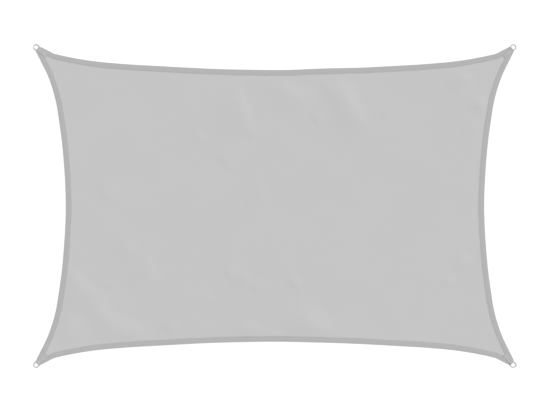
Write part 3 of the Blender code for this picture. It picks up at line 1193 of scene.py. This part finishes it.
@dataclass(frozen=True)
class HemSection:
    """The folded hem cut across, by inset from the sail's edge and level over the lay."""

    width: float = 35 * MM
    underside: float = 0.42 * MM
    tucked_level: float = 0.88 * MM
    tucked_from: float = 2 * MM
    tucked_bevel: float = 1 * MM
    top: float = 1.8 * MM
    lapped_top: float = 2.75 * MM
    seams: tuple[float, float] = (4.5 * MM, 30.5 * MM)
    seam_reach: float = 2.4 * MM
    seam_depth: float = 0.24 * MM
    crown: float = 0.15 * MM
    roll_steps: int = 6
    fold_steps: int = 5
    seam_samples: int = 5
    flat_samples: int = 5

    def dent(self, inset: np.ndarray) -> np.ndarray:
        """How far the top lies off its level: pressed down at the seams, crowned between.

        Args:
            inset: Insets of points on the top.

        Returns:
            How far over its level each one lies.
        """
        between = sum(self.seams) / 2
        half = (self.seams[1] - self.seams[0]) / 2
        pressed = sum(bump((inset - seam) / self.seam_reach) for seam in self.seams)
        return self.crown * bump((inset - between) / half) - self.seam_depth * pressed

    def points(self) -> tuple[np.ndarray, np.ndarray]:
        """Goes all round the section, from the outer roll over the top and back under it.

        Returns:
            The inset and the level of each point.
        """
        roll = (self.top - self.underside) / 2
        roll_turn = np.linspace(-math.pi / 2, math.pi / 2, self.roll_steps + 1)
        fold = (self.top - self.tucked_level) / 2
        fold_turn = np.linspace(math.pi / 2, -math.pi / 2, self.fold_steps + 1)
        by_seam = np.linspace(-self.seam_reach, self.seam_reach, self.seam_samples)
        outer, inner = (seam + by_seam for seam in self.seams)
        between = np.linspace(outer[-1], inner[0], self.flat_samples + 2)[1:-1]
        flat = np.concatenate([outer, between, inner])
        stretches = (
            (roll * (1 - np.cos(roll_turn)), self.underside + roll * (1 + np.sin(roll_turn))),
            (flat, self.top + self.dent(flat)),
            (
                self.width - fold * (1 - np.cos(fold_turn)),
                self.tucked_level + fold * (1 + np.sin(fold_turn)),
            ),
            (
                [self.tucked_from + self.tucked_bevel, self.tucked_from],
                [self.tucked_level, self.underside],
            ),
        )
        insets, levels = (np.concatenate(values) for values in zip(*stretches))
        return insets, levels


@dataclass(frozen=True)
class Hem:
    """The folded hem of one side. A short side's hem is folded last, over the long sides'."""

    lay: Lay
    side: Side
    finish: bpy.types.Material
    section: HemSection
    step: float = 3.2 * MM
    lap_run: float = 3 * MM
    gather_pitch: float = 14 * MM
    gather_height: float = 0.13 * MM
    gather_reach: float = 7 * MM
    swell_pitch: float = 85 * MM
    swell_height: float = 0.12 * MM
    wander: float = 0.8 * MM
    wander_pitch: float = 230 * MM
    taper: float = 3 * MM
    taper_run: float = 400 * MM
    stitch_pitch: float = 5 * MM
    phase_step: float = 1.3

    @property
    def edge(self) -> Edge:
        """The outer edge that the hem follows."""
        return self.lay.outline.edges[self.side]

    @property
    def phase(self) -> float:
        """An angle of the side's own, so that no two hems gather alike."""
        return self.phase_step * list(Side).index(self.side)

    def _drifted(self, distance: np.ndarray, inset: np.ndarray) -> np.ndarray:
        """Insets of the section's points, moved where the hem wanders or tapers to a corner.

        Args:
            distance: How far along the edge each point is.
            inset: Its inset in the section.

        Returns:
            How far in from the edge each point lies.
        """
        inner = smooth_step(inset / self.section.width)
        from_end = np.minimum(distance, self.edge.length - distance)
        from_corner = np.maximum(from_end - self.edge.crossing_start(self.section.width), 0)
        wander = self.wander * uneven_wave(distance, self.wander_pitch, self.phase)
        wander = wander * np.sin(math.pi * distance / self.edge.length)
        return inset + inner * (wander - self.taper * bump(from_corner / self.taper_run))

    def _lapped(self, places: np.ndarray) -> np.ndarray:
        """How far places lie on a long side's hem. Only a short side's hem does.

        Args:
            places: The places in plan, a row of X and Y for each.

        Returns:
            A share from 0 to 1 for each.
        """
        if self.side.is_long:
            return np.zeros(len(places))
        inset = self.lay.outline.inset_of(places, (Side.FAR, Side.NEAR))
        return smooth_step((self.section.width + self.lap_run - inset) / self.lap_run)

    def _raised(
        self, places: np.ndarray, distance: np.ndarray, inset: np.ndarray, level: np.ndarray
    ) -> np.ndarray:
        """Heights over the floor of points of the hem.

        Args:
            places: The points in plan.
            distance: How far along the edge each is.
            inset: How far in from the edge each is.
            level: The level of each in the section.

        Returns:
            The height of each point, with its gathers and its lap over the other hem.
        """
        section = self.section
        share = (level - section.underside) / (section.top - section.underside)
        gathers = sum(
            np.exp(-(((inset - seam) / self.gather_reach) ** 2))
            * uneven_wave(distance, self.gather_pitch, self.phase + number)
            for number, seam in enumerate(section.seams)
        )
        swell = uneven_wave(distance, self.swell_pitch, self.phase)
        level = level + share * (self.gather_height * gathers + self.swell_height * swell)
        lap = share * self._lapped(places) * (section.lapped_top - section.top)
        return self.lay.height(places) + level + lap

    def build(self) -> bpy.types.Object:
        """Sweeps the hem's section along its edge, from cut end to cut end.

        Returns:
            The hem.
        """
        insets, levels = self.section.points()
        start = self.edge.cut_start(insets)
        count = round((self.edge.length - 2 * float(start.max())) / self.step)
        share = np.linspace(0, 1, count + 1)[:, None]
        distance = start + share * (self.edge.length - 2 * start)
        inset = np.broadcast_to(insets, distance.shape)
        level = np.broadcast_to(levels, distance.shape)
        places = self.edge.places(distance, self._drifted(distance, inset)).reshape(-1, 2)
        height = self._raised(places, distance.ravel(), inset.ravel(), level.ravel())
        points, faces = np.column_stack([places, height]), tube_faces(count + 1, len(insets))
        grain = self.edge.places(distance, -inset).reshape(-1, 2)
        name = f"hem_{self.side.value}"
        return add_piece(name, points, faces, self.finish, Slot.CLOTH, grain)

    def sew(self, stitches: Stitches) -> list[bpy.types.Object]:
        """Sews both seams of the hem, through to the underside.

        Args:
            stitches: The kind of stitch.

        Returns:
            The upper and the lower thread, each as one piece.
        """
        rows = []
        for seam in self.section.seams:
            start = float(self.edge.cut_start(seam)) + self.stitch_pitch
            distance = start + middles(self.edge.length - 2 * start, self.stitch_pitch)
            rows.append((distance, np.full_like(distance, seam)))
        distance, inset = (np.concatenate(column) for column in zip(*rows))
        places = self.edge.places(distance, self._drifted(distance, inset))
        headings = self.edge.headings(distance)
        level = self.section.top + self.section.dent(inset)
        upper = np.column_stack([places, self._raised(places, distance, inset, level)])
        lower = np.column_stack([places, self.lay.height(places) + self.section.underside])
        # A long side's upper stitches stop where a short side's hem lies over them.
        shown = np.ones(len(places), bool)
        if self.side.is_long:
            shown = self.lay.outline.inset_of(places, (Side.LEFT, Side.RIGHT)) > self.section.width
        name, pitch = f"stitches_{self.side.value}", self.stitch_pitch
        return [
            stitches.sew(f"{name}_upper", upper[shown], headings[shown], pitch),
            stitches.sew(f"{name}_lower", lower, headings, pitch, up=-1.0),
        ]


# --- Corners ------------------------------------------------------------------------------


@dataclass(frozen=True)
class WebbingLoop:
    """A strap round a ring's bar, with one end under the corner and one on it."""

    # The crossed box's four sides and two diagonals, each between two of its corners.
    BOX_LINES = ((0, 1), (1, 2), (2, 3), (3, 0), (0, 2), (1, 3))

    lay: Lay
    section: HemSection
    corner: Corner
    bar_height: float
    width: float = 24 * MM
    thickness: float = 1.0 * MM
    tail: float = 72 * MM
    drop: float = 14 * MM
    drape_run: float = 7 * MM
    clearance: float = 0.1 * MM
    seal: float = 2.0 * MM
    pinched: float = 0.45
    radius: float = 3.7 * MM
    ribs: int = 11
    rib_relief: float = 0.09 * MM
    selvedge: float = 1.0 * MM
    selvedge_thinness: float = 0.1
    tail_steps: int = 36
    turn_steps: int = 20
    across_steps: int = 44
    box_from: float = 17 * MM
    box_to: float = 67 * MM
    box_half_width: float = 9 * MM
    stitch_pitch: float = 3.2 * MM

    @property
    def plan(self) -> SailPlan:
        """The sail's plan."""
        return self.lay.outline.plan

    @property
    def rib_pitch(self) -> float:
        """From one rib to the next."""
        return self.width / self.ribs

    @property
    def run(self) -> float:
        """The strap's length from end to end."""
        return 2 * self.tail + math.pi * self.radius

    def _upper_height(self, outward: np.ndarray, across: np.ndarray) -> np.ndarray:
        """The height of the upper end, which comes down from the bar and drapes over the hems.

        Args:
            outward: Distances outward from the bar.
            across: Distances square to the corner's pull.

        Returns:
            The height of the middle of the strap's thickness at each point.
        """
        places = self.plan.corner_places(self.corner, outward, across)
        lapped = 1.0
        for sides in ((Side.FAR, Side.NEAR), (Side.LEFT, Side.RIGHT)):
            past = self.lay.outline.inset_of(places, sides) - self.section.width
            lapped = lapped * smooth_step(1 - past / self.drape_run)
        hem_top = self.section.top + lapped * (self.section.lapped_top - self.section.top)
        settled = self.lay.corner_lift + hem_top + self.clearance + self.thickness / 2
        top = self.bar_height + self.radius
        return top + (settled - top) * smooth_step(-outward / self.drop)

    def _line(self) -> np.ndarray:
        """Draws the middle line of the strap's thickness.

        Returns:
            A row of distance outward from the bar and height for each of its points.
        """
        tail = np.linspace(-self.tail, 0, self.tail_steps + 1)
        turn = np.linspace(-math.pi / 2, math.pi / 2, self.turn_steps + 1)[1:-1]
        lower = np.column_stack([tail, np.full_like(tail, self.bar_height - self.radius)])
        bend = np.column_stack(
            [self.radius * np.cos(turn), self.bar_height + self.radius * np.sin(turn)]
        )
        upper = np.column_stack([tail, self._upper_height(tail, np.zeros_like(tail))])[::-1]
        return np.concatenate([lower, bend, upper])

    def _section(self) -> tuple[np.ndarray, np.ndarray]:
        """Draws the ribbed strap cut across, all round.

        Returns:
            Each point's distance across the strap, and its distance over the middle line.
        """
        across = np.linspace(-self.width / 2, self.width / 2, self.across_steps + 1)
        to_selvedge = np.clip((self.width / 2 - np.abs(across)) / self.selvedge, 0, 1)
        fullness = self.selvedge_thinness + (1 - self.selvedge_thinness) * to_selvedge
        rib = self.rib_relief * np.abs(np.sin(math.pi * across / self.rib_pitch))
        half = (self.thickness / 2 - self.rib_relief) * np.sqrt(fullness) + rib
        return np.concatenate([across, across[::-1]]), np.concatenate([half, -half[::-1]])

    def build(self, finish: bpy.types.Material) -> bpy.types.Object:
        """Sweeps the strap's section along its line, and pinches it where its ends are sealed.

        Args:
            finish: The webbing's material.

        Returns:
            The strap, which stands for the part's own loop.
        """
        line, (across, half) = self._line(), self._section()
        run = run_along(line)
        ends = np.clip(np.minimum(run, run[-1] - run) / self.seal, 0, 1)
        pinch = self.pinched + (1 - self.pinched) * np.sqrt(ends)
        offset = half * pinch[:, None]
        outward, height = beside(line, np.gradient(line, axis=0), offset)
        sideways = np.broadcast_to(across, outward.shape)
        upper = slice(self.tail_steps + self.turn_steps // 2, None)
        out, aside = outward[upper].ravel(), sideways[upper].ravel()
        droop = self._upper_height(out, aside) - self._upper_height(out, np.zeros_like(out))
        height[upper] += droop.reshape(height[upper].shape)

        places = self.plan.corner_places(self.corner, outward.ravel(), sideways.ravel())
        points = np.column_stack([places, height.ravel()])
        along = np.repeat(run, len(across))
        grain = np.column_stack([along, sideways.ravel(), offset.ravel()])
        name, faces = f"webbing_{self.corner.label}", tube_faces(len(line), len(across))
        strap = add_piece(name, points, faces, finish, Slot.WEBBING, grain)
        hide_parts(f"webbing_loop_{self.corner.label}")
        return strap

    def sew(self, stitches: Stitches) -> bpy.types.Object:
        """Sews the crossed box that holds the upper end down.

        Args:
            stitches: The kind of stitch.

        Returns:
            The box's stitches, as one piece.
        """
        near, far, half = -self.box_from, -self.box_to, self.box_half_width
        corners = np.array([(near, -half), (near, half), (far, half), (far, -half)])
        places, headings = [], []
        for first, last in self.BOX_LINES:
            way = corners[last] - corners[first]
            length = float(np.linalg.norm(way))
            steps = middles(length, self.stitch_pitch)
            places.append(corners[first] + np.outer(steps, way / length))
            headings.append(np.tile(way / length, (len(steps), 1)))
        outward, across = np.concatenate(places).T
        height = self._upper_height(outward, across) + self.thickness / 2 - self.rib_relief / 2
        points = np.column_stack([self.plan.corner_places(self.corner, outward, across), height])
        heading = np.concatenate(headings) @ np.stack([self.plan.outward, self.plan.across])
        name = f"box_stitches_{self.corner.label}"
        return stitches.sew(name, points, heading * np.array(self.corner.value), self.stitch_pitch)


@dataclass(frozen=True)
class CornerRing:
    """A D-ring of round wire, whose crown leans down onto the floor."""

    plan: SailPlan
    corner: Corner
    bar_height: float
    wire: float = 5.0 * MM
    arc_radius: float = 15.65 * MM
    bend_radius: float = 4.0 * MM
    arc_steps: int = 64
    bend_steps: int = 10
    wire_sides: int = 24

    @property
    def dip(self) -> float:
        """The angle by which the ring leans down from its bar."""
        drop = self.bar_height - self.wire / 2
        return math.asin(drop / (self.plan.bar_setback + self.arc_radius))

    def _line(self) -> np.ndarray:
        """Draws the wire's middle line, once round.

        Returns:
            A row of distance outward from the bar and across for each of its points.
        """
        arc = np.linspace(-math.pi / 2, math.pi / 2, self.arc_steps + 1)
        bend = np.linspace(0, math.pi / 2, self.bend_steps + 1)
        bow = np.column_stack(
            [self.plan.bar_setback + self.arc_radius * np.cos(arc), self.arc_radius * np.sin(arc)]
        )
        foot = np.column_stack(
            [
                self.bend_radius * (1 - np.sin(bend)),
                self.arc_radius - self.bend_radius * (1 - np.cos(bend)),
            ]
        )
        return np.concatenate([bow, foot, (foot * np.array([1, -1]))[::-1]])

    def build(self, finish: bpy.types.Material) -> bpy.types.Object:
        """Bends the wire to its closed line.

        Args:
            finish: The steel's material.

        Returns:
            The ring, which stands for the part's own one.
        """
        line = self._line()
        count, sides = len(line), self.wire_sides
        angle = np.arange(sides) * 2 * math.pi / sides
        aside = np.tile(self.wire / 2 * np.cos(angle), (count, 1))
        up = np.tile(self.wire / 2 * np.sin(angle), count)
        heading = np.roll(line, -1, axis=0) - np.roll(line, 1, axis=0)
        out, across = (values.ravel() for values in beside(line, heading, -aside))
        outward = out * math.cos(self.dip) + up * math.sin(self.dip)
        height = self.bar_height - out * math.sin(self.dip) + up * math.cos(self.dip)
        places = self.plan.corner_places(self.corner, outward, across)
        points = np.column_stack([places, height])
        grain = np.column_stack([np.repeat(run_along(line), sides), aside.ravel(), up])
        faces = grid_faces(count, sides, around=True).tolist()
        last = (count - 1) * sides
        faces += [[last + k, last + (k + 1) % sides, (k + 1) % sides, k] for k in range(sides)]
        ring = add_piece(f"ring_{self.corner.label}", points, faces, finish, Slot.STEEL, grain)
        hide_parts(f"d_ring_{self.corner.label}")
        return ring


# --- Studio -------------------------------------------------------------------------------


@dataclass(frozen=True)
class Studio:
    """A white floor, even light from all round, a soft lamp and a camera straight above."""

    view_length: float = 3416.6 * MM
    view_centre: tuple[float, float] = (-0.3 * MM, -1.0 * MM)
    lens: float = 100.0
    sensor: float = 36.0
    floor_half: float = 120.0
    sky_strength: float = 0.5
    lamp_strength: float = 2.2
    lamp_from: Triple = (1.0, 0.75, 1.25)
    lamp_softness: float = math.radians(35)

    def build(self, finish: StudioWhite) -> None:
        """Sets up the floor, the lights and the camera.

        Args:
            finish: What the floor is painted with.
        """
        mesh = bpy.data.meshes.new("floor")
        sheet = bmesh.new()
        bmesh.ops.create_grid(sheet, x_segments=1, y_segments=1, size=self.floor_half)
        sheet.to_mesh(mesh)
        sheet.free()
        mesh.materials.append(finish.material())
        add_object("floor", mesh)

        world = bpy.data.worlds.new("studio_sky")
        world.use_nodes = True
        background = world.node_tree.nodes["Background"].inputs
        background["Color"].default_value = grey(1.0)
        background["Strength"].default_value = self.sky_strength
        bpy.context.scene.world = world

        lamp = bpy.data.lights.new("soft_lamp", "SUN")
        lamp.energy = self.lamp_strength
        lamp.angle = self.lamp_softness
        direction = Vector(self.lamp_from)
        add_object("soft_lamp", lamp).rotation_euler = direction.to_track_quat("Z", "Y").to_euler()

        camera = bpy.data.cameras.new("camera")
        camera.lens = self.lens
        camera.sensor_width = self.sensor
        holder = add_object("camera", camera)
        holder.location = (*self.view_centre, self.view_length * self.lens / self.sensor)
        bpy.context.scene.camera = holder

        view = bpy.context.scene.view_settings
        view.view_transform = "Standard"
        view.look = "None"


# --- Assembly -----------------------------------------------------------------------------


@dataclass
class ShadeSail:
    """The whole dressed sail."""

    lay: Lay
    bar_height: float
    turn_in: float = 70 * MM

    @classmethod
    def from_frame(cls) -> ShadeSail:
        """Takes the sail's size and its rings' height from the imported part.

        Returns:
            The sail, still to be built.
        """
        low, high = cad_box
        plan = SailPlan(length=high.x - low.x, width=high.y - low.y)
        loop_low, loop_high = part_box(f"webbing_loop_{Corner.FAR_RIGHT.label}")
        return cls(Lay(Outline.of(plan)), (loop_low.z + loop_high.z) / 2)

    def build(self) -> None:
        """Builds every piece."""
        # The hem and the panel are one cloth, and the gap between their greys is painted light: the
        # panel's lighter greys stand for the white floor's light showing through one layer, the hem's
        # darker ones for the less that shows through its folded layers.
        hem_cloth = WovenCloth("hem_cloth", light=0.493, dark=0.433).material()
        panel_cloth_with_painted_light = WovenCloth("panel_cloth_with_painted_light", light=0.589, dark=0.535).material()
        thread = SewingThread("thread", light=0.50, dark=0.40).material()
        steel = SatinSteel("satin_steel", light=0.62, dark=0.52).material()
        section, stitches = HemSection(), Stitches(thread, Slot.CLOTH)
        loops = [WebbingLoop(self.lay, section, corner, self.bar_height) for corner in Corner]
        webbing = WovenWebbing(
            "webbing", light=0.54, dark=0.43, sealed=0.40,
            rib_pitch=loops[0].rib_pitch, length=loops[0].run,
        ).material()

        panel = Panel(self.lay, panel_cloth_with_painted_light).build()
        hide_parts("sail_cloth")
        with_panel = []
        for side in Side:
            hem = Hem(self.lay, side, hem_cloth, section)
            with_panel += [hem.build(), *hem.sew(stitches)]
        for loop in loops:
            ring = CornerRing(loop.plan, loop.corner, self.bar_height)
            with_panel += [loop.build(webbing), loop.sew(stitches), ring.build(steel)]

        area, rim = self.lay.outline.area_and_rim()


def main() -> None:
    """Builds the sail and its studio."""
    logging.basicConfig(level=logging.INFO, format="%(name)s: %(message)s")
    ShadeSail.from_frame().build()
    Studio().build(StudioWhite("studio_white", light=0.9, dark=0.88))


if __name__ == "__main__":
    main()
